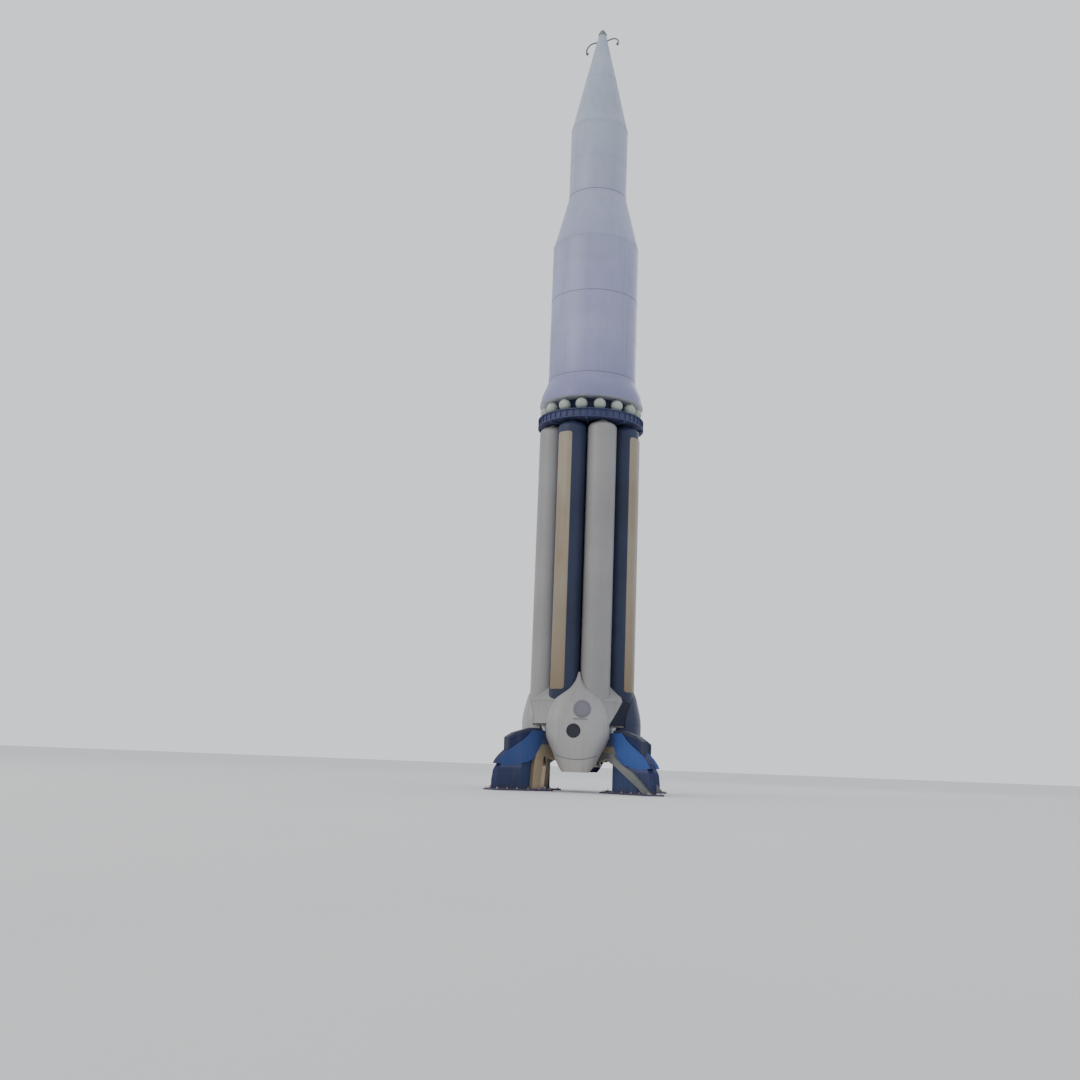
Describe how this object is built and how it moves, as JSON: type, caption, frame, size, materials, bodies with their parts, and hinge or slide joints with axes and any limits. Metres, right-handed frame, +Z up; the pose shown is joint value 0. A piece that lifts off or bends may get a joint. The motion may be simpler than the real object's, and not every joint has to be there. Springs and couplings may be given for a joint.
{
  "type": "space rocket, half-size model on support arms",
  "caption": "Tall space rocket with a clustered-tank booster, engine shrouds and slim upper stages, standing on four blue support arms; outer engines swivel.",
  "frame": {"origin": "on the ground under the rocket's axis, midway between the support arms' feet", "axes": "+Z up along the rocket, -Y towards the front shroud"},
  "size_m": [5.1266, 5.1266, 25.2],
  "materials": {
    "white_skin": "satin off-white paint, greyed by age",
    "black_skin": "satin black paint",
    "dark_frame": "matt dark blue paint",
    "sphere_paint": "pale grey-green paint",
    "heat_shield": "matt grey",
    "engine_steel": "weathered bare metal",
    "lamp_grey": "grey paint",
    "arm_blue": "satin blue paint",
    "arm_cream": "cream paint",
    "pad_grey": "pale grey paint"
  },
  "bodies": {
    "rocket": {"centre_tank": "white_skin", "tail_drum": "white_skin", "engine_shroud_front": "white_skin", "engine_shroud_left": "white_skin", "flared_adapter": "white_skin", "upper_stage": "white_skin", "payload_adapter_cone": "white_skin", "payload_stage": "white_skin", "nose_cone": "white_skin", "oxidiser_tank_1": "white_skin", "oxidiser_tank_2": "white_skin", "oxidiser_tank_3": "white_skin", "oxidiser_tank_4": "white_skin", "engine_shroud_right": "black_skin", "engine_shroud_back": "black_skin", "fuel_tank_1": "black_skin", "fuel_tank_2": "black_skin", "fuel_tank_3": "black_skin", "fuel_tank_4": "black_skin", "spoked_beam": "dark_frame", "interstage_core": "dark_frame", "gas_sphere_ring": "sphere_paint", "heat_shield": "heat_shield", "inner_engine_1": "engine_steel", "inner_engine_2": "engine_steel", "inner_engine_3": "engine_steel", "inner_engine_4": "engine_steel", "nose_tip": "lamp_grey", "tip_lamp_right": "lamp_grey", "tip_lamp_left": "lamp_grey", "arm_strut_1": "arm_blue", "arm_strut_2": "arm_blue", "arm_strut_3": "arm_blue", "arm_strut_4": "arm_blue", "arm_base_1": "arm_blue", "arm_base_2": "arm_blue", "arm_base_3": "arm_blue", "arm_base_4": "arm_blue", "arm_column_1": "arm_cream", "arm_column_2": "arm_cream", "arm_column_3": "arm_cream", "arm_column_4": "arm_cream", "arm_pad_1": "pad_grey", "arm_pad_2": "pad_grey", "arm_pad_3": "pad_grey", "arm_pad_4": "pad_grey"},
    "cross_front": {"swivel_cross_front": "engine_steel"},
    "cross_right": {"swivel_cross_right": "engine_steel"},
    "cross_back": {"swivel_cross_back": "engine_steel"},
    "cross_left": {"swivel_cross_left": "engine_steel"},
    "engine_front": {"outer_engine_front": "engine_steel"},
    "engine_right": {"outer_engine_right": "engine_steel"},
    "engine_back": {"outer_engine_back": "engine_steel"},
    "engine_left": {"outer_engine_left": "engine_steel"}
  },
  "joints": [
    {"name": "front_engine_swing_in_out", "type": "hinge", "parent": "rocket", "child": "cross_front", "pos_m": [0, -1.205, 1.79], "axis": [1, 0, 0], "range_deg": [-7, 7]},
    {"name": "front_engine_swing_sideways", "type": "hinge", "parent": "cross_front", "child": "engine_front", "pos_m": [0, -1.205, 1.79], "axis": [0, -0.9945, 0.1045], "range_deg": [-7, 7]},
    {"name": "right_engine_swing_in_out", "type": "hinge", "parent": "rocket", "child": "cross_right", "pos_m": [1.205, 0, 1.79], "axis": [0, 1, 0], "range_deg": [-7, 7]},
    {"name": "right_engine_swing_sideways", "type": "hinge", "parent": "cross_right", "child": "engine_right", "pos_m": [1.205, 0, 1.79], "axis": [0.9945, 0, 0.1045], "range_deg": [-7, 7]},
    {"name": "back_engine_swing_in_out", "type": "hinge", "parent": "rocket", "child": "cross_back", "pos_m": [0, 1.205, 1.79], "axis": [-1, 0, 0], "range_deg": [-7, 7]},
    {"name": "back_engine_swing_sideways", "type": "hinge", "parent": "cross_back", "child": "engine_back", "pos_m": [0, 1.205, 1.79], "axis": [0, 0.9945, 0.1045], "range_deg": [-7, 7]},
    {"name": "left_engine_swing_in_out", "type": "hinge", "parent": "rocket", "child": "cross_left", "pos_m": [-1.205, 0, 1.79], "axis": [0, -1, 0], "range_deg": [-7, 7]},
    {"name": "left_engine_swing_sideways", "type": "hinge", "parent": "cross_left", "child": "engine_left", "pos_m": [-1.205, 0, 1.79], "axis": [-0.9945, 0, 0.1045], "range_deg": [-7, 7]}
  ]
}
